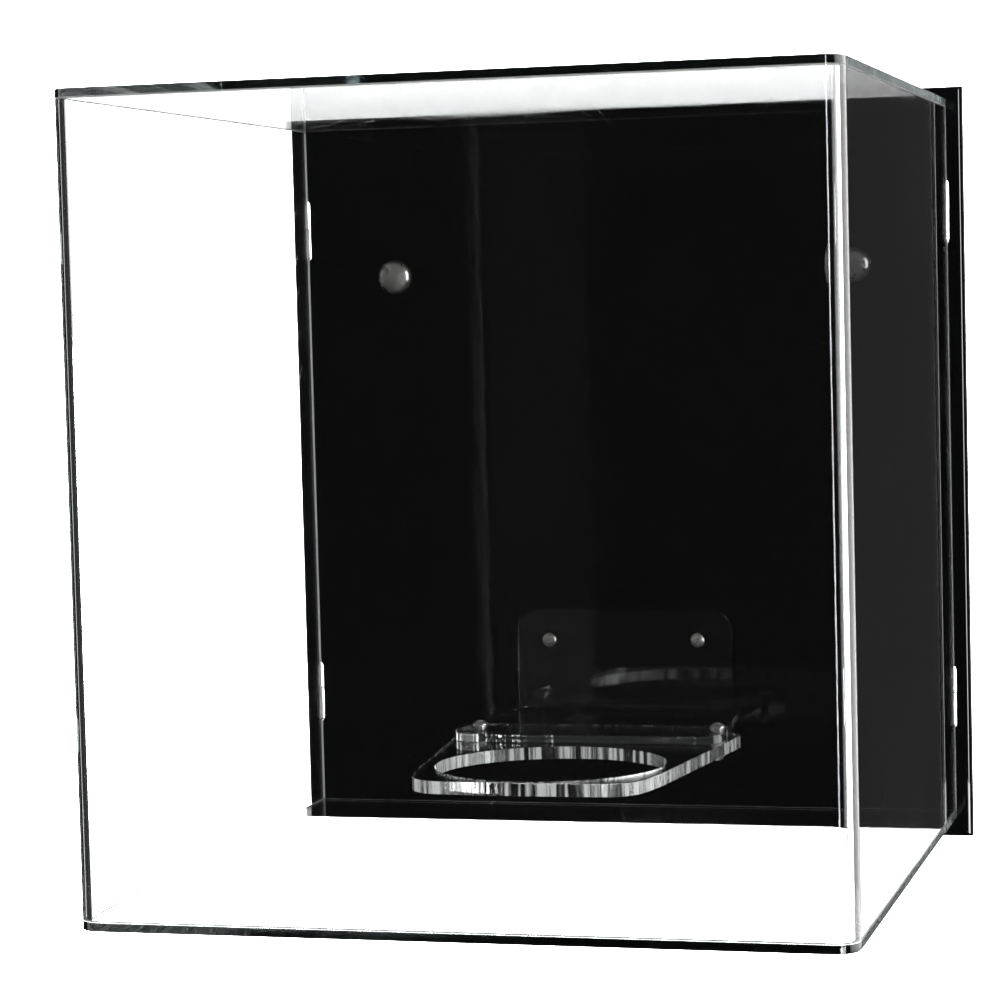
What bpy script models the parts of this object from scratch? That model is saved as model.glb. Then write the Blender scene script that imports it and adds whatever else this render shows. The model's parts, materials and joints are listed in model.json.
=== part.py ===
"""Wall-mounted football display case: a clear cover that hooks into slots in a black backboard.

The origin is on the wall plane behind the centre of the board. X is right, Y into the wall, Z up.
"""

import math

import bmesh
import bpy
from mathutils import Matrix, Vector

MM = 0.001

# Backboard: a black sheet held 12 mm off the wall.
BOARD_HALF_X = 136.0
BOARD_HALF_Z = 144.5
BOARD_FRONT = -17.0
BOARD_BACK = -12.0
CHAMFER_WIDE = 2.5
CHAMFER_DEEP = 1.5

# Cover: one bent sheet with a top and a bottom panel.
COVER_HALF_X = 130.0
COVER_FRONT = -272.0
COVER_REAR = -17.3
SHEET = 3.0
BEND_RADIUS = 8.0
BEND_STEPS = 32
COVER_TOP = 140.0
COVER_BOTTOM = -137.0
GLUE_GAP = 0.1

# Slots in the board and the hooks that hang in them.
SLOT_X = 128.5
SLOT_Z = (-90.0, 97.0)
SLOT_HEIGHT = 25.0
SLOT_WIDE = 4.2
HOOK_CLEARANCE = 0.75
NECK_HEIGHT = 13.0
LEG_FRONT = -11.6
LEG_BACK = -7.4
LEG_DROP = 8.5

# Shelf plate that carries the ball in its ring hole.
PLATE_TOP = -99.0
PLATE_THICK = 4.5
RING_Y = -140.3
RING_RADIUS = 41.7
SHELF_BOLT_X = 46.5
SHELF_BOLT_Y = -67.0

# Bent bracket between the plate and the board.
BRACKET_BOTTOM = PLATE_TOP + 0.2
BRACKET_FRONT = -91.0
BRACKET_TOP = -56.0
BRACKET_HALF_WIDE = 52.0
BRACKET_HALF_NARROW = 43.5
BRACKET_BACK = BOARD_FRONT - 0.2
BRACKET_INNER_RADIUS = 3.0
BRACKET_SCREW_X = 30.0
BRACKET_SCREW_Z = -68.0

# Wall fixings.
WALL_SCREW_X = 91.0
WALL_SCREW_Z = 77.6
WALL_SCREW_END = 23.0
CAP_RADIUS = 6.75
CAP_HEIGHT = 5.6
SPACER_RADIUS = 6.0
BUMPER_RADIUS = 7.0
BUMPER_Z = -122.0
TOUCH_GAP = 0.1

SIDES = (("left", -1), ("right", 1))


def clear_scene():
    for obj in list(bpy.data.objects):
        bpy.data.objects.remove(obj)


def material(name, colour, roughness, metallic=0.0, transmission=0.0, ior=1.49):
    made = bpy.data.materials.new(name)
    made.use_nodes = True
    shader = made.node_tree.nodes["Principled BSDF"]
    shader.inputs["Base Color"].default_value = (*colour, 1.0)
    shader.inputs["Roughness"].default_value = roughness
    shader.inputs["Metallic"].default_value = metallic
    shader.inputs["Transmission Weight"].default_value = transmission
    shader.inputs["IOR"].default_value = ior
    return made


def add_object(name, bm, mat=None, smooth=False):
    """Turns a bmesh in millimetres into an object in metres."""
    bmesh.ops.scale(bm, vec=(MM, MM, MM), verts=bm.verts)
    bmesh.ops.recalc_face_normals(bm, faces=bm.faces)
    mesh = bpy.data.meshes.new(name)
    bm.to_mesh(mesh)
    bm.free()
    obj = bpy.data.objects.new(name, mesh)
    bpy.context.scene.collection.objects.link(obj)
    if mat:
        mesh.materials.append(mat)
    if smooth:
        mesh.shade_smooth()
        mesh.set_sharp_from_angle(angle=math.radians(35))
    return obj


def move_origin(obj, point):
    """Puts the origin at a point in millimetres without moving the mesh."""
    shift = Vector(point) * MM
    obj.data.transform(Matrix.Translation(-shift))
    obj.location = shift


def extrude_outline(bm, outline, low, high, frame=None):
    """Adds a prism: an outline of (a, b) points between two heights, turned by a frame matrix."""
    frame = frame or Matrix.Identity(4)
    ends = []
    for height in (low, high):
        ends.append([bm.verts.new(frame @ Vector((a, b, height))) for a, b in outline])
    count = len(outline)
    for i in range(count):
        j = (i + 1) % count
        bm.faces.new((ends[0][i], ends[0][j], ends[1][j], ends[1][i]))
    bm.faces.new(reversed(ends[0]))
    bm.faces.new(ends[1])


def circle(centre, radius, count=32):
    points = []
    for i in range(count):
        angle = 2 * math.pi * i / count
        points.append((centre[0] + radius * math.cos(angle), centre[1] + radius * math.sin(angle)))
    return points


def stadium(centre, width, height, count=8):
    """Upright slot outline with round ends."""
    radius = width / 2
    points = []
    for side, start in ((1, 0.0), (-1, math.pi)):
        for i in range(count + 1):
            angle = start + math.pi * i / count
            points.append(
                (
                    centre[0] + radius * math.cos(angle),
                    centre[1] + side * (height / 2 - radius) + radius * math.sin(angle),
                )
            )
    return points


def rounded(corners, radii, count=6):
    """Rounds each corner of a polygon with an arc of its radius."""
    points = []
    total = len(corners)
    for i, corner in enumerate(corners):
        here = Vector(corner)
        before = (Vector(corners[i - 1]) - here).normalized()
        after = (Vector(corners[(i + 1) % total]) - here).normalized()
        half = before.angle(after) / 2
        if radii[i] <= 0 or half > math.radians(89.5):
            points.append(tuple(here))
            continue
        centre = here + (before + after).normalized() * radii[i] / math.sin(half)
        start = here + before * radii[i] / math.tan(half) - centre
        end = here + after * radii[i] / math.tan(half) - centre
        sweep = start.angle(end)
        for k in range(count + 1):
            t = k / count
            mixed = (start * math.sin((1 - t) * sweep) + end * math.sin(t * sweep)) / math.sin(sweep)
            points.append(tuple(centre + mixed))
    return points


# Looking along Y: outline (x, z) is extruded along Y.
FACE_ON = Matrix(((1, 0, 0, 0), (0, 0, 1, 0), (0, 1, 0, 0), (0, 0, 0, 1)))


def revolve(bm, profile, axis_point, axis, count=32):
    """Adds a lathe shape. The profile is (radius, distance along the axis); radius 0 closes an end."""
    axis = Vector(axis)
    turn = axis.to_track_quat("Z", "Y").to_matrix().to_4x4()
    frame = Matrix.Translation(Vector(axis_point)) @ turn
    rings = []
    for radius, along in profile:
        if radius == 0:
            rings.append([bm.verts.new(frame @ Vector((0, 0, along)))])
            continue
        ring = []
        for i in range(count):
            angle = 2 * math.pi * i / count
            ring.append(
                bm.verts.new(
                    frame @ Vector((radius * math.cos(angle), radius * math.sin(angle), along))
                )
            )
        rings.append(ring)
    closed = profile[0][0] != 0
    pairs = list(zip(rings, rings[1:]))
    if closed:
        pairs.append((rings[-1], rings[0]))
    for first, second in pairs:
        for i in range(count):
            j = (i + 1) % count
            if len(first) == 1:
                bm.faces.new((first[0], second[i], second[j]))
            elif len(second) == 1:
                bm.faces.new((first[j], first[i], second[0]))
            else:
                bm.faces.new((first[i], second[i], second[j], first[j]))


def cut(obj, cutter_name, build):
    """Cuts an object with everything that build() adds to a hidden cutter."""
    bm = bmesh.new()
    build(bm)
    cutter = add_object(cutter_name, bm)
    cutter.hide_render = True
    cutter.display_type = "WIRE"
    modifier = obj.modifiers.new("holes", "BOOLEAN")
    modifier.object = cutter
    modifier.operation = "DIFFERENCE"
    modifier.solver = "EXACT"


def backboard(mat):
    bm = bmesh.new()
    levels = (
        (BOARD_BACK, 0.0),
        (BOARD_FRONT + CHAMFER_DEEP, 0.0),
        (BOARD_FRONT, CHAMFER_WIDE),
    )
    rings = []
    for y, inset in levels:
        x = BOARD_HALF_X - inset
        z = BOARD_HALF_Z - inset
        rings.append([bm.verts.new((a, y, b)) for a, b in ((-x, -z), (x, -z), (x, z), (-x, z))])
    for first, second in zip(rings, rings[1:]):
        for i in range(4):
            j = (i + 1) % 4
            bm.faces.new((first[i], first[j], second[j], second[i]))
    bm.faces.new(rings[0])
    bm.faces.new(rings[-1])
    board = add_object("backboard", bm, mat)

    def holes(bm):
        for _, side in SIDES:
            for z in SLOT_Z:
                outline = stadium((side * SLOT_X, z), SLOT_WIDE, SLOT_HEIGHT)
                extrude_outline(bm, outline, BOARD_FRONT - 2, BOARD_BACK + 2, FACE_ON)
            for x, z, radius in (
                (WALL_SCREW_X, WALL_SCREW_Z, 2.5),
                (BRACKET_SCREW_X, BRACKET_SCREW_Z, 1.8),
            ):
                outline = circle((side * x, z), radius)
                extrude_outline(bm, outline, BOARD_FRONT - 2, BOARD_BACK + 2, FACE_ON)

    cut(board, "cutter_board_holes", holes)


def wrap_section():
    """Outer and inner plan points of the bent sheet, from the right rear edge to the left one."""
    outer = [(COVER_HALF_X, COVER_REAR)]
    inner = [(COVER_HALF_X - SHEET, COVER_REAR)]
    for side in (1, -1):
        centre = Vector((side * (COVER_HALF_X - BEND_RADIUS), COVER_FRONT + BEND_RADIUS))
        for i in range(BEND_STEPS + 1):
            share = i / BEND_STEPS
            angle = math.pi / 2 * (share if side > 0 else 1 - share)
            away = Vector((side * math.cos(angle), -math.sin(angle)))
            outer.append(tuple(centre + away * BEND_RADIUS))
            inner.append(tuple(centre + away * (BEND_RADIUS - SHEET)))
    outer.append((-COVER_HALF_X, COVER_REAR))
    inner.append((-COVER_HALF_X + SHEET, COVER_REAR))
    return outer, inner


def pull(bm, face, shift):
    """Extrudes one face by a shift and returns the face that moved."""
    made = bmesh.ops.extrude_face_region(bm, geom=[face])["geom"]
    if face.is_valid:
        bm.faces.remove(face)
    verts = [item for item in made if isinstance(item, bmesh.types.BMVert)]
    bmesh.ops.translate(bm, vec=shift, verts=verts)
    return next(item for item in made if isinstance(item, bmesh.types.BMFace))


def facing(faces, direction):
    direction = Vector(direction)
    for face in faces:
        face.normal_update()
    return max(faces, key=lambda face: face.normal.dot(direction))


def cover_wrap(mat):
    low = COVER_BOTTOM + SHEET + GLUE_GAP
    high = COVER_TOP - SHEET - GLUE_GAP
    necks = []
    for z in SLOT_Z:
        bottom = z - SLOT_HEIGHT / 2 + HOOK_CLEARANCE
        necks.append((bottom, bottom + NECK_HEIGHT))
    levels = sorted([low, high] + [z for neck in necks for z in neck])
    outer, inner = wrap_section()
    bm = bmesh.new()
    rings = []
    for z in levels:
        ring_out = [bm.verts.new((x, y, z)) for x, y in outer]
        ring_in = [bm.verts.new((x, y, z)) for x, y in inner]
        rings.append((ring_out, ring_in))
    last = len(outer) - 1
    rear_faces = {}
    for k in range(len(levels) - 1):
        (out_a, in_a), (out_b, in_b) = rings[k], rings[k + 1]
        for i in range(last):
            bm.faces.new((out_a[i + 1], out_a[i], out_b[i], out_b[i + 1]))
            bm.faces.new((in_a[i], in_a[i + 1], in_b[i + 1], in_b[i]))
        right = bm.faces.new((out_a[0], in_a[0], in_b[0], out_b[0]))
        left = bm.faces.new((in_a[last], out_a[last], out_b[last], in_b[last]))
        rear_faces[levels[k]] = (right, left)
    for ring_out, ring_in in (rings[0], rings[-1]):
        for i in range(last):
            bm.faces.new((ring_out[i], ring_out[i + 1], ring_in[i + 1], ring_in[i]))
    bmesh.ops.recalc_face_normals(bm, faces=bm.faces)
    soft_edges = []
    for bottom, _ in necks:
        for rear in rear_faces[bottom]:
            neck = pull(bm, rear, (0, LEG_FRONT - COVER_REAR, 0))
            leg = pull(bm, neck, (0, LEG_BACK - LEG_FRONT, 0))
            beside = {face for edge in leg.edges for face in edge.link_faces} - {leg}
            under = facing(beside, (0, 0, -1))
            tip = pull(bm, under, (0, 0, -LEG_DROP))
            for edge in leg.edges:
                if abs(edge.verts[0].co.z - edge.verts[1].co.z) < 0.01:
                    if edge.verts[0].co.z > bottom + 1:
                        soft_edges.append(edge)
            for edge in tip.edges:
                if abs(edge.verts[0].co.y - edge.verts[1].co.y) < 0.01:
                    soft_edges.append(edge)
    bmesh.ops.bevel(
        bm, geom=soft_edges, offset=1.4, segments=3, profile=0.5, affect="EDGES"
    )
    bmesh.ops.dissolve_limit(
        bm, angle_limit=math.radians(0.1), verts=bm.verts, edges=bm.edges
    )
    return add_object("cover_wrap", bm, mat, smooth=True)


def cover_panel(name, mat, low, high):
    corners = (
        (COVER_HALF_X, COVER_REAR),
        (-COVER_HALF_X, COVER_REAR),
        (-COVER_HALF_X, COVER_FRONT),
        (COVER_HALF_X, COVER_FRONT),
    )
    bm = bmesh.new()
    outline = rounded(corners, (0, 0, BEND_RADIUS, BEND_RADIUS), BEND_STEPS)
    extrude_outline(bm, outline, low, high)
    return add_object(name, bm, mat, smooth=True)


def plate_outline():
    """Right half from the rear middle to the front middle, then mirrored."""
    half = [(0.0, -58.0)]
    half += rounded(
        ((0.0, -58.0), (55.8, -58.0), (49.5, -116.0), (45.0, -158.0), (40.0, -184.0), (0.0, -185.5)),
        (0, 8, 0, 60, 14, 0),
        8,
    )[1:]
    return half + [(-x, y) for x, y in reversed(half[1:-1])]


def ball_shelf(mat):
    bm = bmesh.new()
    extrude_outline(bm, plate_outline(), PLATE_TOP - PLATE_THICK, PLATE_TOP)
    plate = add_object("ball_shelf", bm, mat, smooth=True)

    def holes(bm):
        low, high = PLATE_TOP - PLATE_THICK - 2, PLATE_TOP + 2
        extrude_outline(bm, circle((0, RING_Y), RING_RADIUS, 96), low, high)
        for _, side in SIDES:
            extrude_outline(bm, circle((side * SHELF_BOLT_X, SHELF_BOLT_Y), 1.8), low, high)

    cut(plate, "cutter_shelf_holes", holes)


def shelf_bracket(mat):
    """A flat strip followed along its bend: each station has a half width and two surface points."""
    outer_radius = BRACKET_INNER_RADIUS + SHEET
    bend_y = BRACKET_BACK - outer_radius
    bend_z = BRACKET_BOTTOM + outer_radius
    corner = 9.0
    stations = []
    for i in range(9):
        angle = math.pi / 2 * i / 8
        y = BRACKET_FRONT + corner * (1 - math.cos(angle))
        half = BRACKET_HALF_WIDE - corner * (1 - math.sin(angle))
        stations.append((half, (y, BRACKET_BOTTOM), (y, BRACKET_BOTTOM + SHEET)))
    for i in range(11):
        angle = math.pi / 2 * i / 10
        away = Vector((math.sin(angle), -math.cos(angle)))
        centre = Vector((bend_y, bend_z))
        half = BRACKET_HALF_WIDE + (BRACKET_HALF_NARROW - BRACKET_HALF_WIDE) * (0.7 + 0.3 * i / 10)
        stations.append(
            (half, tuple(centre + away * outer_radius), tuple(centre + away * BRACKET_INNER_RADIUS))
        )
    for i in range(9):
        angle = math.pi / 2 * i / 8
        z = BRACKET_TOP - corner * (1 - math.sin(angle))
        half = BRACKET_HALF_NARROW - corner * (1 - math.cos(angle))
        stations.append((half, (BRACKET_BACK, z), (BRACKET_BACK - SHEET, z)))
    bm = bmesh.new()
    rings = []
    for half, outside, inside in stations:
        corners = (
            (-half, *outside),
            (half, *outside),
            (half, *inside),
            (-half, *inside),
        )
        rings.append([bm.verts.new(point) for point in corners])
    for first, second in zip(rings, rings[1:]):
        for i in range(4):
            j = (i + 1) % 4
            bm.faces.new((first[i], first[j], second[j], second[i]))
    bm.faces.new(rings[0])
    bm.faces.new(rings[-1])
    bracket = add_object("shelf_bracket", bm, mat, smooth=True)

    def holes(bm):
        for _, side in SIDES:
            across = circle((side * SHELF_BOLT_X, SHELF_BOLT_Y), 1.8)
            extrude_outline(bm, across, BRACKET_BOTTOM - 2, BRACKET_BOTTOM + SHEET + 2)
            through = circle((side * BRACKET_SCREW_X, BRACKET_SCREW_Z), 1.8)
            extrude_outline(bm, through, BRACKET_BACK - SHEET - 2, BRACKET_BACK + 2, FACE_ON)

    cut(bracket, "cutter_bracket_holes", holes)


def button_bolt(name, mat, point, axis, head_radius, head_height, shank_radius, length):
    """Button head above the point, shank along the axis below it, with a shallow hex socket."""
    profile = [(0, length), (shank_radius - 0.3, length), (shank_radius, length - 0.5)]
    profile += [(shank_radius, 0), (head_radius, 0)]
    for i in range(1, 6):
        angle = math.pi / 2 * i / 6
        profile.append((head_radius * math.cos(angle), -head_height * math.sin(angle)))
    top = -head_height
    socket = head_radius * 0.36
    profile += [(socket + 0.1, top), (socket, top + 0.1), (socket, top + 0.9), (0, top + 0.9)]
    bm = bmesh.new()
    revolve(bm, profile, point, axis, 24)
    return add_object(name, bm, mat, smooth=True)


def dome_nut(name, mat, point, axis, across, height, bore_radius, bore_depth):
    """Hexagon base with a dome, bored from its flat side."""
    hexagon = across / math.sqrt(3)
    dome = across / 2 - 0.15
    base = height * 0.45
    bm = bmesh.new()
    turn = Vector(axis).to_track_quat("Z", "Y").to_matrix().to_4x4()
    frame = Matrix.Translation(Vector(point)) @ turn
    count = 24
    levels = [(bore_depth, bore_radius, 0), (0, bore_radius, 0), (0, hexagon, 1), (base, hexagon, 1)]
    levels.append((base, dome, 0))
    for i in range(1, 6):
        angle = math.pi / 2 * i / 6
        levels.append((base + (height - base) * math.sin(angle), dome * math.cos(angle), 0))
    rings = []
    for along, radius, is_hexagon in levels:
        ring = []
        for i in range(count):
            angle = 2 * math.pi * i / count
            reach = radius
            if is_hexagon:
                within = (angle + math.pi / 6) % (math.pi / 3) - math.pi / 6
                reach = radius * math.cos(math.pi / 6) / math.cos(within)
            ring.append(
                bm.verts.new(frame @ Vector((reach * math.cos(angle), reach * math.sin(angle), along)))
            )
        rings.append(ring)
    for first, second in zip(rings, rings[1:]):
        for i in range(count):
            j = (i + 1) % count
            bm.faces.new((first[i], second[i], second[j], first[j]))
    for ring, along in ((rings[0], bore_depth), (rings[-1], height)):
        tip = bm.verts.new(frame @ Vector((0, 0, along)))
        for i in range(count):
            bm.faces.new((ring[i], ring[(i + 1) % count], tip))
    return add_object(name, bm, mat, smooth=True)


def hex_nut(name, mat, point, axis, across, thickness, bore_radius):
    bm = bmesh.new()
    turn = Vector(axis).to_track_quat("Z", "Y").to_matrix().to_4x4()
    frame = Matrix.Translation(Vector(point)) @ turn
    count = 24
    rings = []
    for along, is_hexagon in ((0, 0), (0, 1), (thickness, 1), (thickness, 0)):
        ring = []
        for i in range(count):
            angle = 2 * math.pi * i / count
            within = (angle + math.pi / 6) % (math.pi / 3) - math.pi / 6
            reach = across / 2 / math.cos(within) if is_hexagon else bore_radius
            ring.append(
                bm.verts.new(frame @ Vector((reach * math.cos(angle), reach * math.sin(angle), along)))
            )
        rings.append(ring)
    for k in range(4):
        first, second = rings[k], rings[(k + 1) % 4]
        for i in range(count):
            j = (i + 1) % count
            bm.faces.new((first[i], second[i], second[j], first[j]))
    return add_object(name, bm, mat, smooth=True)


def wall_fixings(steel, chrome, black, rubber):
    for label, side in SIDES:
        x = side * WALL_SCREW_X
        face = BOARD_FRONT - TOUCH_GAP
        centre = (x, face, WALL_SCREW_Z)

        bm = bmesh.new()
        profile = [(2.3, 0), (2.3, 0.5), (3.6, 1.7), (4.2, 1.7), (5.4, 0.8), (5.4, 0)]
        revolve(bm, profile, centre, (0, -1, 0), 40)
        add_object(f"cup_washer_{label}", bm, black, smooth=True)

        bm = bmesh.new()
        end = WALL_SCREW_END - face
        profile = [(0, end), (0.5, end - 0.8), (1.9, end - 6), (1.9, -0.4), (3.3, -2.0)]
        profile += [(3.2, -2.6), (1.4, -2.9), (0.9, -2.9), (0.7, -1.4), (0, -1.4)]
        revolve(bm, profile, centre, (0, 1, 0), 32)
        add_object(f"wall_screw_{label}", bm, steel, smooth=True)

        bm = bmesh.new()
        wall = 0.8
        profile = [(CAP_RADIUS - wall, 0), (CAP_RADIUS - 0.2, 0), (CAP_RADIUS, 0.25), (CAP_RADIUS, 0.9)]
        for i in range(1, 12):
            angle = math.pi / 2 * i / 12
            height = 0.9 + (CAP_HEIGHT - 0.9) * math.sin(angle)
            profile.append((CAP_RADIUS * math.cos(angle), height))
        cap = profile + [(0, CAP_HEIGHT)]
        hollow = [(0, CAP_HEIGHT - wall)]
        for i in range(6, 0, -1):
            angle = math.pi / 2 * i / 7
            height = 0.9 + (CAP_HEIGHT - wall - 0.9) * math.sin(angle)
            hollow.append(((CAP_RADIUS - wall) * math.cos(angle), height))
        shell = hollow + [(CAP_RADIUS - wall, 0.9)] + cap
        revolve(bm, shell, centre, (0, -1, 0), 48)
        add_object(f"screw_cap_{label}", bm, chrome, smooth=True)

        length = -(BOARD_BACK + TOUCH_GAP)
        bm = bmesh.new()
        profile = [(2.6, 0), (2.6, length), (SPACER_RADIUS - 0.3, length)]
        profile += [(SPACER_RADIUS, length - 0.3), (SPACER_RADIUS, 0.3), (SPACER_RADIUS - 0.3, 0)]
        revolve(bm, profile, (x, -length, WALL_SCREW_Z), (0, 1, 0), 40)
        add_object(f"spacer_{label}", bm, black, smooth=True)

        bm = bmesh.new()
        profile = [(0, 0), (BUMPER_RADIUS, 0), (BUMPER_RADIUS, length - 3.0)]
        for i in range(1, 6):
            angle = math.pi / 2 * i / 6
            profile.append(
                (BUMPER_RADIUS - 1.8 * (1 - math.cos(angle)), length - 3.0 + 3.0 * math.sin(angle))
            )
        profile += [(BUMPER_RADIUS - 1.8, length), (0, length)]
        revolve(bm, profile, (x, -length, BUMPER_Z), (0, 1, 0), 40)
        add_object(f"bumper_{label}", bm, rubber, smooth=True)


def shelf_fixings(chrome, steel):
    for label, side in SIDES:
        x = side * SHELF_BOLT_X
        head = BRACKET_BOTTOM + SHEET + TOUCH_GAP
        nut = PLATE_TOP - PLATE_THICK - TOUCH_GAP
        point = (x, SHELF_BOLT_Y, head)
        button_bolt(f"shelf_bolt_{label}", chrome, point, (0, 0, -1), 2.85, 1.65, 1.5, head - nut + 2.6)
        point = (x, SHELF_BOLT_Y, nut)
        dome_nut(f"shelf_nut_{label}", chrome, point, (0, 0, -1), 5.5, 4.6, 1.75, 3.0)
        x = side * BRACKET_SCREW_X
        head = BRACKET_BACK - SHEET - TOUCH_GAP
        nut = BOARD_BACK + TOUCH_GAP
        point = (x, head, BRACKET_SCREW_Z)
        button_bolt(f"bracket_screw_{label}", chrome, point, (0, 1, 0), 2.85, 1.65, 1.5, nut - head + 3.4)
        point = (x, nut, BRACKET_SCREW_Z)
        hex_nut(f"bracket_nut_{label}", steel, point, (0, 1, 0), 5.5, 2.4, 1.75)


clear_scene()
CLEAR = material("clear_acrylic", (0.98, 0.99, 0.99), 0.02, transmission=1.0)
SHELF_CLEAR = material("shelf_acrylic", (0.95, 0.97, 0.97), 0.03, transmission=1.0)
BLACK = material("black_acrylic", (0.008, 0.008, 0.009), 0.04)
CHROME = material("chrome", (0.86, 0.86, 0.87), 0.08, metallic=1.0)
STEEL = material("zinc_steel", (0.62, 0.62, 0.64), 0.35, metallic=1.0)
PLASTIC = material("black_plastic", (0.02, 0.02, 0.02), 0.5)
RUBBER = material("rubber", (0.03, 0.03, 0.03), 0.8)

backboard(BLACK)
covers = [
    cover_wrap(CLEAR),
    cover_panel("cover_top", CLEAR, COVER_TOP - SHEET, COVER_TOP),
    cover_panel("cover_bottom", CLEAR, COVER_BOTTOM, COVER_BOTTOM + SHEET),
]
for cover in covers:
    move_origin(cover, (0, COVER_REAR, COVER_BOTTOM))
ball_shelf(SHELF_CLEAR)
shelf_bracket(SHELF_CLEAR)
wall_fixings(STEEL, CHROME, PLASTIC, RUBBER)
shelf_fixings(CHROME, STEEL)
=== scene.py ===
"""Looks of the football display case: polished clear acrylic over a gloss black board.

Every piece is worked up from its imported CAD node, so that its size and place stay the CAD's.
"""

import json
import math

import bmesh
import bpy
from mathutils import Matrix, Vector

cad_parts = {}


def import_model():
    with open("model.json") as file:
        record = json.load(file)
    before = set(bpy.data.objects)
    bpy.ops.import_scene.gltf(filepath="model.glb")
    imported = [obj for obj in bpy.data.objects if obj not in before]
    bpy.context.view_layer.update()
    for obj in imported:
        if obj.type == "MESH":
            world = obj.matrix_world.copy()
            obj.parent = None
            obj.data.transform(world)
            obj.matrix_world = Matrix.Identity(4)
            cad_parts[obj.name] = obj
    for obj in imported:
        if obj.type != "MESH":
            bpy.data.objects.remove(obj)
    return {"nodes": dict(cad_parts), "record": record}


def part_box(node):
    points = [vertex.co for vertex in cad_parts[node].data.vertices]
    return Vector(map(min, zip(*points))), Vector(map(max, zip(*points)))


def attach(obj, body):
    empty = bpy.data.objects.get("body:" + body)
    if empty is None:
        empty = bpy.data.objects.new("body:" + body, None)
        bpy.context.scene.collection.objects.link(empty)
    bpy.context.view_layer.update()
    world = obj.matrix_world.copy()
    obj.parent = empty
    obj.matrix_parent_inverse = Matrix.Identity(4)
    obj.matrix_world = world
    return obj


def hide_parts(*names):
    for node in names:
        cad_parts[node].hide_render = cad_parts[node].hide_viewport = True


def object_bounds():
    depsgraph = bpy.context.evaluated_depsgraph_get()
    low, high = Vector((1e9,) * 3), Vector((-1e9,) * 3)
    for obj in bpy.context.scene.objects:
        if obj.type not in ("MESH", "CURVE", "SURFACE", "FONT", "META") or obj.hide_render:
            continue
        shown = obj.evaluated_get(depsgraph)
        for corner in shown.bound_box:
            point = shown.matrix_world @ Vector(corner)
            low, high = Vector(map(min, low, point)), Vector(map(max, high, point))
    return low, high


MM = 0.001

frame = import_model()
cad_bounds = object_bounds()

SLOT_OF = {part["node"]: part["material_slot"] for part in frame["record"]["subparts"]}
BODY_OF = {
    node: body for body, nodes in frame["record"]["behaviour"]["bodies"].items() for node in nodes
}

# Where the cover's rear edge, its top panel's lower face and its bottom panel's upper face lie.
REAR_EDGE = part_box("cover_bottom")[1].y
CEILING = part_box("cover_top")[0].z
CASE_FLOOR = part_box("cover_bottom")[1].z

# The cover's bent sheet: its thickness and the outer radius of its two bends.
SHEET = 3.0 * MM
BEND_RADIUS = 8.0 * MM

# Solvent joints: half the gap between the bent sheet and a panel, how far a joint reaches up and down
# from the gap's middle, how far it stays clear of the sheet's inner face and rear ends, and how far
# from the inner face it goes.
HALF_GAP = 0.05 * MM
SEAM_REACH = 0.26 * MM
SEAM_INSET = 0.15 * MM
TOP_SEAM_WIDTH = 2.7 * MM
BOTTOM_SEAM_WIDTH = 1.7 * MM

# Acrylic: refractive index, colour of its surface, tints of its inside and how densely they absorb.
ACRYLIC_IOR = 1.49
CLEAR = (0.995, 0.998, 0.998)
COVER_TINT = (0.72, 0.93, 0.95)
SHELF_TINT = (0.80, 0.94, 0.96)
ABSORPTION = 1.6

# Sawn edges: the colour of the matt rear edge, the height of its strips on the top and bottom panels,
# the margin by which the matt areas pass a face, and the roughness of the panels' side edges.
SAWN = (0.86, 0.87, 0.87)
TOP_STRIP = 0.4 * MM
BOTTOM_STRIP = 0.5 * MM
MARGIN = 0.1 * MM
SAWN_SIDES = 0.42

# Working up the CAD meshes: points closer than WELD become one, faces that meet at less than FLAT
# become one, and edges that turn by more than SHARP are rounded, which leaves out the edge between
# the board's front and its chamfer. Both angles are in radians.
WELD = 0.002 * MM
FLAT = math.radians(0.4)
SHARP = math.radians(34)

# Width in millimetres of the fine rounding that sawing, polishing or moulding leaves on edges.
EDGE_ROUNDING = {
    "cover_acrylic": 0.12,
    "shelf_acrylic": 0.15,
    "black_acrylic": 0.10,
    "chrome": 0.10,
    "zinc_steel": 0.10,
    "black_plastic": 0.15,
    "rubber": 0.30,
}

# Brightness of the studio, where 1 is the brightest white that a picture holds: the backdrop behind
# the case, the pale room round it, the backdrop and the wall on the right as reflections see them,
# and the dark side of the room. The backdrop stays white through several sheets of acrylic.
BACKDROP = 10.0
PALE = 1.15
REFLECTED_BACKDROP = 1.0
RIGHT_WALL = 4.5
DARK = 0.027

# The floor's size and its distance below the part, in metres.
FLOOR_SIZE = 60
FLOOR_DROP = 0.25

# The camera: focal length and sensor in millimetres, place in metres, and its turn to the left, down
# and clockwise in radians.
LENS = 112.21
SENSOR = 36.0
CAMERA_PLACE = (0.276393, -1.217928, 0.068988)
YAW, PITCH, ROLL = 0.265534, 0.065279, -0.025302


# ---------------------------------------------------------------- node helpers
def new_tree(name):
    """A new material with its node tree and its shader."""
    made = bpy.data.materials.new(name)
    made.use_nodes = True
    tree = made.node_tree
    return made, tree, tree.nodes["Principled BSDF"]


def node(tree, kind, **settings):
    """Adds a shader node. A setting named after an input sets that input's value."""
    made = tree.nodes.new(kind)
    for key, value in settings.items():
        if hasattr(made, key):
            setattr(made, key, value)
        else:
            made.inputs[key.replace("_", " ")].default_value = value
    return made


def feed(tree, socket, value):
    """Sets an input to a number, or links it to another node's output."""
    if isinstance(value, (int, float)):
        socket.default_value = value
    else:
        tree.links.new(value, socket)


def math_node(tree, operation, first, second=0.0, third=0.0, clamp=False):
    made = tree.nodes.new("ShaderNodeMath")
    made.operation = operation
    made.use_clamp = clamp
    for socket, value in zip(made.inputs, (first, second, third)):
        feed(tree, socket, value)
    return made.outputs[0]


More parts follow.
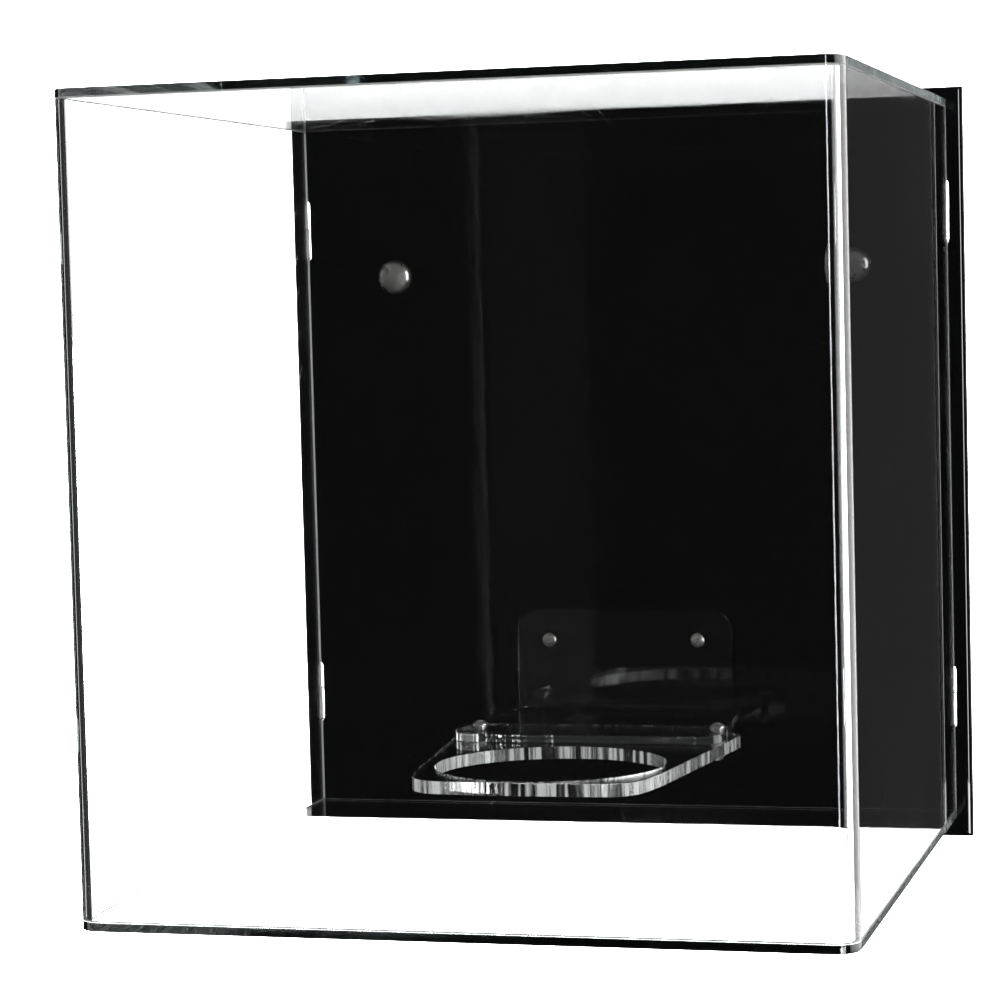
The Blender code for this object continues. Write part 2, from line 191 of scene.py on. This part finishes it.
def split(tree, vector):
    """The X, Y and Z of a vector."""
    made = tree.nodes.new("ShaderNodeSeparateXYZ")
    tree.links.new(vector, made.inputs[0])
    return made.outputs


def object_coords(tree, scale=(1, 1, 1), turn=(0, 0, 0)):
    coords = tree.nodes.new("ShaderNodeTexCoord")
    mapping = tree.nodes.new("ShaderNodeMapping")
    mapping.inputs["Scale"].default_value = scale
    mapping.inputs["Rotation"].default_value = turn
    tree.links.new(coords.outputs["Object"], mapping.inputs["Vector"])
    return mapping.outputs["Vector"]


def noise(tree, vector, scale, detail=2.0, roughness=0.5):
    made = node(tree, "ShaderNodeTexNoise", Scale=scale, Detail=detail, Roughness=roughness)
    tree.links.new(vector, made.inputs["Vector"])
    return made.outputs["Fac"]


def ramp(tree, factor, low, high, from_min=0.0, from_max=1.0):
    """Goes from low to high while the factor goes from from_min to from_max, and stays there."""
    made = tree.nodes.new("ShaderNodeMapRange")
    made.inputs["From Min"].default_value = from_min
    made.inputs["From Max"].default_value = from_max
    made.inputs["To Min"].default_value = low
    made.inputs["To Max"].default_value = high
    tree.links.new(factor, made.inputs["Value"])
    return made.outputs["Result"]


def between(tree, value, low, high):
    """1 where the value lies between low and high, else 0."""
    above = math_node(tree, "GREATER_THAN", value, low)
    return math_node(tree, "MULTIPLY", above, math_node(tree, "LESS_THAN", value, high))


def band(tree, value, low, high, soft):
    """1 where the value lies between low and high, fading to 0 over a width of soft on each side."""
    rising = ramp(tree, value, 0.0, 1.0, from_min=low - soft, from_max=low)
    falling = ramp(tree, value, 1.0, 0.0, from_min=high, from_max=high + soft)
    return math_node(tree, "MULTIPLY", rising, falling)


def choose(tree, factor, first, second):
    """The first value where the factor is 0, the second where it is 1, and a mix between."""
    made = tree.nodes.new("ShaderNodeMix")
    tree.links.new(factor, made.inputs[0])
    feed(tree, made.inputs[2], first)
    feed(tree, made.inputs[3], second)
    return made.outputs[0]


def mix_colour(tree, factor, first, second):
    """The first colour where the factor is 0, the second where it is 1, and a mix between.

    The two colour inputs of the node come after its number and vector inputs.
    """
    made = tree.nodes.new("ShaderNodeMix")
    made.data_type = "RGBA"
    made.inputs[6].default_value = (*first, 1)
    made.inputs[7].default_value = (*second, 1)
    tree.links.new(factor, made.inputs[0])
    return made.outputs[2]


def bump(tree, shader, height, strength, distance):
    made = node(tree, "ShaderNodeBump", Strength=strength, Distance=distance)
    tree.links.new(height, made.inputs["Height"])
    tree.links.new(made.outputs["Normal"], shader.inputs["Normal"])


def hairlines(tree, turn):
    """Sparse fine scratches: 1 on a line and 0 beside it."""
    vector = object_coords(tree, turn=turn)
    wobble = noise(tree, vector, scale=9.0, detail=2.0)
    wave = node(
        tree, "ShaderNodeTexWave", Scale=34.0, Distortion=6.0, Detail=2.0, Detail_Scale=0.6
    )
    tree.links.new(vector, wave.inputs["Vector"])
    line = ramp(tree, wave.outputs["Fac"], 0.0, 1.0, from_min=0.9985, from_max=1.0)
    patch = ramp(tree, wobble, 0.0, 1.0, from_min=0.56, from_max=0.64)
    return math_node(tree, "MULTIPLY", line, patch, clamp=True)


# ---------------------------------------------------------------- materials
def facing_share(tree, axis):
    """How squarely a surface faces along an axis, either way: 0 to 1."""
    geometry = tree.nodes.new("ShaderNodeNewGeometry")
    return math_node(tree, "ABSOLUTE", split(tree, geometry.outputs["Normal"])[axis])


def clear_acrylic(name, tint, laser_lines=0.0, sawn_sides=0.0, matt_rear=None):
    """Polished acrylic with faint smears and hairline scratches.

    laser_lines is the depth in metres of the upright lines on a laser-cut edge, sawn_sides the
    roughness of edges that face left and right, and matt_rear the lowest and highest Z between
    which the rear edge is left whitish from the saw.
    """
    made, tree, shader = new_tree(name)
    shader.inputs["Base Color"].default_value = (*CLEAR, 1)
    shader.inputs["Transmission Weight"].default_value = 1.0
    shader.inputs["IOR"].default_value = ACRYLIC_IOR
    cloud = noise(tree, object_coords(tree), scale=14.0, detail=3.0)
    smear = ramp(tree, cloud, 0.004, 0.03, from_min=0.45, from_max=0.75)
    scratches = math_node(
        tree, "MAXIMUM", hairlines(tree, (0.3, 0.5, 0.9)), hairlines(tree, (1.1, 0.2, 2.3))
    )
    rough = math_node(tree, "MULTIPLY_ADD", scratches, 0.10, smear)
    if sawn_sides:
        grain = noise(tree, object_coords(tree, (1, 6, 1)), scale=300.0, detail=3.0)
        side = ramp(tree, facing_share(tree, "X"), 0.0, sawn_sides, from_min=0.75, from_max=0.95)
        rough = math_node(tree, "MAXIMUM", rough, math_node(tree, "MULTIPLY", side, grain))
    tree.links.new(rough, shader.inputs["Roughness"])
    if laser_lines:
        fine = noise(tree, object_coords(tree, (1, 1, 0.02)), scale=1300.0, detail=3.0, roughness=0.6)
        broad = noise(tree, object_coords(tree, (1, 1, 0.02)), scale=330.0, detail=1.0)
        lines = math_node(tree, "MULTIPLY_ADD", broad, 2.5, fine)
        on_edge = ramp(tree, facing_share(tree, "Z"), 1.0, 0.0, from_min=0.2, from_max=0.6)
        height = math_node(tree, "MULTIPLY", lines, on_edge)
        bump(tree, shader, height, strength=1.0, distance=laser_lines)
        deepest = ramp(tree, lines, 0.0, 1.0, from_min=1.75, from_max=2.0)
        streaks = math_node(tree, "MULTIPLY", deepest, on_edge)
        frosted = math_node(tree, "MULTIPLY_ADD", streaks, -0.5, 1.0)
        tree.links.new(frosted, shader.inputs["Transmission Weight"])
    if matt_rear:
        _, y, z = split(tree, object_coords(tree))
        at_rear = between(tree, y, REAR_EDGE - MARGIN, REAR_EDGE + 2 * MARGIN)
        matt = math_node(tree, "MULTIPLY", at_rear, between(tree, z, *matt_rear))
        clear = math_node(tree, "SUBTRACT", 1.0, matt)
        tree.links.new(clear, shader.inputs["Transmission Weight"])
        tree.links.new(mix_colour(tree, clear, SAWN, CLEAR), shader.inputs["Base Color"])
    volume = node(tree, "ShaderNodeVolumeAbsorption", Color=(*tint, 1), Density=ABSORPTION)
    output = next(n for n in tree.nodes if n.type == "OUTPUT_MATERIAL")
    tree.links.new(volume.outputs[0], output.inputs["Volume"])
    return made


def black_acrylic():
    """Gloss black acrylic with faint smears, specks of dust and hairline scratches."""
    made, tree, shader = new_tree("gloss_black_acrylic")
    dust = noise(tree, object_coords(tree), scale=1900.0, detail=0.0)
    speck = ramp(tree, dust, 0.0, 1.0, from_min=0.80, from_max=0.84)
    tree.links.new(
        mix_colour(tree, speck, (0.0008, 0.0008, 0.0010), (0.010, 0.010, 0.010)),
        shader.inputs["Base Color"],
    )
    shader.inputs["IOR"].default_value = ACRYLIC_IOR
    cloud = noise(tree, object_coords(tree), scale=11.0, detail=3.0)
    smear = ramp(tree, cloud, 0.015, 0.07, from_min=0.4, from_max=0.75)
    rough = math_node(tree, "MULTIPLY_ADD", hairlines(tree, (0.2, 1.3, 0.4)), 0.15, smear)
    tree.links.new(rough, shader.inputs["Roughness"])
    return made


def chrome():
    """Chrome with cloudy polish and the finest of grain."""
    made, tree, shader = new_tree("polished_chrome")
    shader.inputs["Metallic"].default_value = 1.0
    cloud = noise(tree, object_coords(tree), scale=260.0, detail=3.0)
    tree.links.new(
        mix_colour(tree, cloud, (0.80, 0.79, 0.76), (0.90, 0.89, 0.87)), shader.inputs["Base Color"]
    )
    tree.links.new(ramp(tree, cloud, 0.26, 0.38, from_min=0.35, from_max=0.75), shader.inputs["Roughness"])
    fine = noise(tree, object_coords(tree, (1, 1, 0.2)), scale=2600.0, detail=2.0)
    bump(tree, shader, fine, strength=0.05, distance=0.0001)
    return made


def zinc_steel():
    """Steel with a dull zinc plating that goes from bluish to yellowish."""
    made, tree, shader = new_tree("zinc_plated_steel")
    shader.inputs["Metallic"].default_value = 1.0
    cloud = noise(tree, object_coords(tree), scale=420.0, detail=4.0, roughness=0.6)
    tree.links.new(
        mix_colour(tree, cloud, (0.42, 0.43, 0.46), (0.66, 0.65, 0.60)), shader.inputs["Base Color"]
    )
    tree.links.new(ramp(tree, cloud, 0.24, 0.46, from_min=0.3, from_max=0.7), shader.inputs["Roughness"])
    grain = noise(tree, object_coords(tree), scale=3200.0, detail=2.0)
    bump(tree, shader, grain, strength=0.12, distance=0.0001)
    return made


def black_plastic():
    """Black plastic with the fine grain of its mould."""
    made, tree, shader = new_tree("moulded_black_plastic")
    grain = noise(tree, object_coords(tree), scale=2400.0, detail=3.0)
    tree.links.new(
        mix_colour(tree, grain, (0.012, 0.012, 0.014), (0.026, 0.026, 0.030)),
        shader.inputs["Base Color"],
    )
    tree.links.new(ramp(tree, grain, 0.36, 0.55, from_min=0.3, from_max=0.7), shader.inputs["Roughness"])
    bump(tree, shader, grain, strength=0.25, distance=0.0001)
    return made


def rubber():
    """Soft dull rubber, slightly dusty."""
    made, tree, shader = new_tree("soft_black_rubber")
    grain = noise(tree, object_coords(tree), scale=1500.0, detail=4.0, roughness=0.65)
    tree.links.new(
        mix_colour(tree, grain, (0.014, 0.014, 0.014), (0.034, 0.034, 0.031)),
        shader.inputs["Base Color"],
    )
    tree.links.new(ramp(tree, grain, 0.68, 0.88, from_min=0.3, from_max=0.7), shader.inputs["Roughness"])
    bump(tree, shader, grain, strength=0.4, distance=0.0002)
    return made


def solvent_joint():
    """The thin greyish film, with tiny bubbles, that shows where acrylic sheets are bonded."""
    made, tree, shader = new_tree("solvent_joint")
    bubbles = noise(tree, object_coords(tree), scale=700.0, detail=3.0, roughness=0.7)
    tree.links.new(
        mix_colour(tree, bubbles, (0.22, 0.23, 0.23), (0.50, 0.51, 0.50)),
        shader.inputs["Base Color"],
    )
    shader.inputs["IOR"].default_value = 1.3
    tree.links.new(ramp(tree, bubbles, 0.25, 0.6, from_min=0.3, from_max=0.7), shader.inputs["Roughness"])
    return made


MATERIALS = {
    "cover_acrylic": clear_acrylic(
        "clear_acrylic_cover", COVER_TINT, matt_rear=(CASE_FLOOR, CEILING)
    ),
    "shelf_acrylic": clear_acrylic("clear_acrylic_shelf", SHELF_TINT, laser_lines=0.0002),
    "black_acrylic": black_acrylic(),
    "chrome": chrome(),
    "zinc_steel": zinc_steel(),
    "black_plastic": black_plastic(),
    "rubber": rubber(),
}
# Pieces whose edges differ from those of their slot's other pieces.
OWN_MATERIALS = {
    "shelf_bracket": clear_acrylic("clear_acrylic_bracket", SHELF_TINT),
    "cover_top": clear_acrylic(
        "clear_acrylic_top",
        COVER_TINT,
        sawn_sides=SAWN_SIDES,
        matt_rear=(CEILING - MARGIN, CEILING + TOP_STRIP),
    ),
    "cover_bottom": clear_acrylic(
        "clear_acrylic_bottom",
        COVER_TINT,
        sawn_sides=SAWN_SIDES,
        matt_rear=(CASE_FLOOR - BOTTOM_STRIP, CASE_FLOOR + MARGIN),
    ),
}
SOLVENT_JOINT = solvent_joint()


# ---------------------------------------------------------------- pieces
def placed(bm, name, material):
    """Makes a finished mesh into an object of the scene."""
    mesh = bpy.data.meshes.new(name)
    bm.to_mesh(mesh)
    bm.free()
    mesh.materials.append(material)
    obj = bpy.data.objects.new(name, mesh)
    bpy.context.scene.collection.objects.link(obj)
    return obj


def refined(name):
    """The CAD node's own shape with whole faces, softened edges and smooth round surfaces."""
    slot = SLOT_OF[name]
    bm = bmesh.new()
    bm.from_mesh(frame["nodes"][name].data)
    bmesh.ops.remove_doubles(bm, verts=bm.verts, dist=WELD)
    bmesh.ops.dissolve_limit(bm, angle_limit=FLAT, verts=bm.verts, edges=bm.edges)
    bmesh.ops.recalc_face_normals(bm, faces=bm.faces)
    edges = [edge for edge in bm.edges if edge.is_manifold and edge.calc_face_angle() > SHARP]
    bmesh.ops.bevel(
        bm,
        geom=edges,
        offset=EDGE_ROUNDING[slot] * MM,
        segments=2,
        profile=0.5,
        affect="EDGES",
        clamp_overlap=True,
    )
    for face in bm.faces:
        face.smooth = True
    obj = placed(bm, f"{name}_refined", OWN_MATERIALS.get(name, MATERIALS[slot]))
    weighted = obj.modifiers.new("flat faces stay flat", "WEIGHTED_NORMAL")
    weighted.weight = 100
    weighted.keep_sharp = True
    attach(obj, BODY_OF[name])
    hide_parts(name)


def round_the_cover(depth):
    """A line inside the bent sheet, from its rear right end round the front to its rear left end.

    depth is the line's distance from the sheet's inner face.
    """
    corner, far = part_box("cover_top")
    radius = BEND_RADIUS - SHEET + depth
    centre_x, centre_y = far.x - BEND_RADIUS, corner.y + BEND_RADIUS
    right = [(centre_x + radius, far.y - SEAM_INSET)]
    steps = 16
    for step in range(steps + 1):
        angle = math.pi / 2 * step / steps
        right.append((centre_x + radius * math.cos(angle), centre_y - radius * math.sin(angle)))
    return right + [(-x, y) for x, y in reversed(right)]


def bonded_seam(name, joint_z, width):
    """A film where a panel is bonded to the bent sheet's edge, along the sheet's whole section.

    It reaches a little into both sheets, as solvent does, and width is measured from the inner face.
    """
    low, high = joint_z - SEAM_REACH, joint_z + SEAM_REACH
    bm = bmesh.new()
    rows = []
    for outer, inner in zip(round_the_cover(width), round_the_cover(SEAM_INSET)):
        corners = ((*outer, low), (*outer, high), (*inner, high), (*inner, low))
        rows.append([bm.verts.new(place) for place in corners])
    for first, second in zip(rows, rows[1:]):
        for i in range(4):
            j = (i + 1) % 4
            bm.faces.new((first[i], first[j], second[j], second[i]))
    bm.faces.new(rows[0])
    bm.faces.new(rows[-1])
    bmesh.ops.recalc_face_normals(bm, faces=bm.faces)
    obj = placed(bm, name, SOLVENT_JOINT)
    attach(obj, "cover")


for cad_name in frame["nodes"]:
    refined(cad_name)

bonded_seam("bonded_seam_top", CEILING - HALF_GAP, TOP_SEAM_WIDTH)
bonded_seam("bonded_seam_bottom", CASE_FLOOR + HALF_GAP, BOTTOM_SEAM_WIDTH)


# ---------------------------------------------------------------- studio
def ray_direction(tree):
    """How far a ray of the world goes to the right, to the back and up, each from -1 to 1."""
    coords = tree.nodes.new("ShaderNodeTexCoord")
    return split(tree, coords.outputs["Generated"])


def studio_brightness(tree):
    """What a reflection sees: a bright backdrop behind on the left, a pale wall to the right and a
    dark room elsewhere."""
    x, y, z = ray_direction(tree)
    behind = ramp(tree, y, 0.0, 1.0, from_min=0.05, from_max=0.35)
    backdrop = math_node(tree, "MULTIPLY", band(tree, x, low=-0.46, high=-0.08, soft=0.07), behind)
    right = ramp(tree, x, 0.0, RIGHT_WALL, from_min=0.26, from_max=0.42)
    not_front = ramp(tree, y, 0.0, 1.0, from_min=-0.30, from_max=-0.10)
    upright = math_node(tree, "MULTIPLY", not_front, band(tree, z, low=-0.20, high=0.45, soft=0.05))
    wall = math_node(tree, "MULTIPLY", right, upright)
    pale = math_node(tree, "MULTIPLY_ADD", backdrop, REFLECTED_BACKDROP, DARK)
    return math_node(tree, "ADD", pale, wall)


def black_card(tree):
    """1 towards a narrow black card behind on the right, which darkens the bends seen through."""
    x, y, _ = ray_direction(tree)
    behind = ramp(tree, y, 0.0, 1.0, from_min=0.4, from_max=0.6)
    return math_node(tree, "MULTIPLY", band(tree, x, low=0.12, high=0.38, soft=0.03), behind)


def lit_backdrop(tree):
    """1 towards the stretch of backdrop behind the case that is brightly lit."""
    x, y, _ = ray_direction(tree)
    behind = ramp(tree, y, 0.0, 1.0, from_min=0.6, from_max=0.75)
    return math_node(tree, "MULTIPLY", band(tree, x, low=-0.60, high=0.0, soft=0.08), behind)


def has_bounced(tree, kind):
    """1 for a ray that has met a surface of this kind on its way, else 0.

    The kinds are Diffuse, Glossy and Transmission.
    """
    path = tree.nodes.new("ShaderNodeLightPath")
    return math_node(tree, "GREATER_THAN", path.outputs[f"{kind} Depth"], 0.5)


def world():
    """The room: pale with a lit backdrop when seen straight, with a black card as well when seen
    through acrylic, plain pale to diffuse surfaces and with dark sides to glossy ones."""
    made = bpy.data.worlds.new("studio")
    bpy.context.scene.world = made
    made.use_nodes = True
    tree = made.node_tree
    background = tree.nodes["Background"]
    carded = math_node(tree, "MULTIPLY", black_card(tree), has_bounced(tree, "Transmission"))
    lit = choose(tree, lit_backdrop(tree), PALE, BACKDROP)
    straight = choose(tree, carded, lit, DARK)
    scattered = choose(tree, has_bounced(tree, "Diffuse"), straight, PALE)
    strength = choose(tree, has_bounced(tree, "Glossy"), scattered, studio_brightness(tree))
    tree.links.new(strength, background.inputs["Strength"])
    background.inputs["Color"].default_value = (1.0, 1.0, 1.0, 1)


def floor():
    """A pale floor with a painted patch of light behind the case, where it glows by emission. Reflections
    look through it to the studio.
    """
    place = (0, 0, cad_bounds[0].z - FLOOR_DROP)
    bpy.ops.mesh.primitive_plane_add(size=FLOOR_SIZE, location=place)
    made = bpy.context.object
    made.name = "studio_floor"
    material, tree, shader = new_tree("pale_floor")
    grain = noise(tree, object_coords(tree), scale=3.0, detail=2.0)
    tree.links.new(
        mix_colour(tree, grain, (0.90, 0.90, 0.90), (0.94, 0.94, 0.94)), shader.inputs["Base Color"]
    )
    shader.inputs["Roughness"].default_value = 0.9
    x, y, _ = split(tree, object_coords(tree))
    # Painted light: behind the case, fading out to the right, the floor glows by emission as a brightly lit
    # patch would look. Diffuse bounces don't see the glow.
    far = ramp(tree, y, 0.0, 1.0, from_min=0.45, from_max=0.70)
    left = ramp(tree, x, 1.0, 0.0, from_min=0.4, from_max=1.0)
    undiffused = math_node(tree, "SUBTRACT", 1.0, has_bounced(tree, "Diffuse"))
    painted_glow = math_node(tree, "MULTIPLY", math_node(tree, "MULTIPLY", far, left), undiffused)
    shader.inputs["Emission Color"].default_value = (1, 1, 1, 1)
    tree.links.new(
        math_node(tree, "MULTIPLY", painted_glow, BACKDROP), shader.inputs["Emission Strength"]
    )
    clear = tree.nodes.new("ShaderNodeBsdfTransparent")
    either = tree.nodes.new("ShaderNodeMixShader")
    tree.links.new(has_bounced(tree, "Glossy"), either.inputs["Fac"])
    tree.links.new(shader.outputs[0], either.inputs[1])
    tree.links.new(clear.outputs[0], either.inputs[2])
    output = next(n for n in tree.nodes if n.type == "OUTPUT_MATERIAL")
    tree.links.new(either.outputs[0], output.inputs["Surface"])
    made.data.materials.append(material)


def softbox(name, place, aim, width, height, power):
    """A rectangular light, with its sizes in metres and its power in watts.

    It shows in reflections, but isn't seen straight or through acrylic.
    """
    data = bpy.data.lights.new(name, "AREA")
    data.shape = "RECTANGLE"
    data.size = width
    data.size_y = height
    data.energy = power
    obj = bpy.data.objects.new(name, data)
    obj.location = place
    obj.rotation_mode = "QUATERNION"
    obj.rotation_quaternion = (Vector(aim) - Vector(place)).to_track_quat("-Z", "Y")
    obj.visible_camera = False
    obj.visible_transmission = False
    bpy.context.scene.collection.objects.link(obj)


def camera():
    data = bpy.data.cameras.new("camera")
    data.sensor_width = SENSOR
    data.lens = LENS
    obj = bpy.data.objects.new("camera", data)
    turn = Matrix.Rotation(YAW, 4, "Z") @ Matrix.Rotation(math.pi / 2 - PITCH, 4, "X")
    turn = turn @ Matrix.Rotation(ROLL, 4, "Z")
    obj.matrix_world = Matrix.Translation(CAMERA_PLACE) @ turn
    bpy.context.scene.collection.objects.link(obj)
    bpy.context.scene.camera = obj


world()
floor()
softbox("key", place=(-1.2, -1.4, 1.9), aim=(0, -0.1, 0), width=1.0, height=1.0, power=30)
softbox("fill", place=(1.6, -0.9, 1.4), aim=(0, -0.1, 0), width=1.0, height=1.2, power=45)
softbox("low_card", place=(0.44, -0.63, -0.35), aim=(0.09, -0.02, 0.08), width=0.25, height=0.25, power=2.4)
softbox("strip", place=(0.96, -1.51, -0.10), aim=(0.122, -0.264, -0.05), width=0.16, height=1.5, power=15)
camera()

view_settings = bpy.context.scene.view_settings
view_settings.view_transform = "Standard"
view_settings.look = "None"
# Light meets many faces on its way through the clear sheets.
cycles = bpy.context.scene.cycles
cycles.max_bounces = 32
cycles.transmission_bounces = 32
cycles.glossy_bounces = 24
cycles.transparent_max_bounces = 32
cycles.use_denoising = True
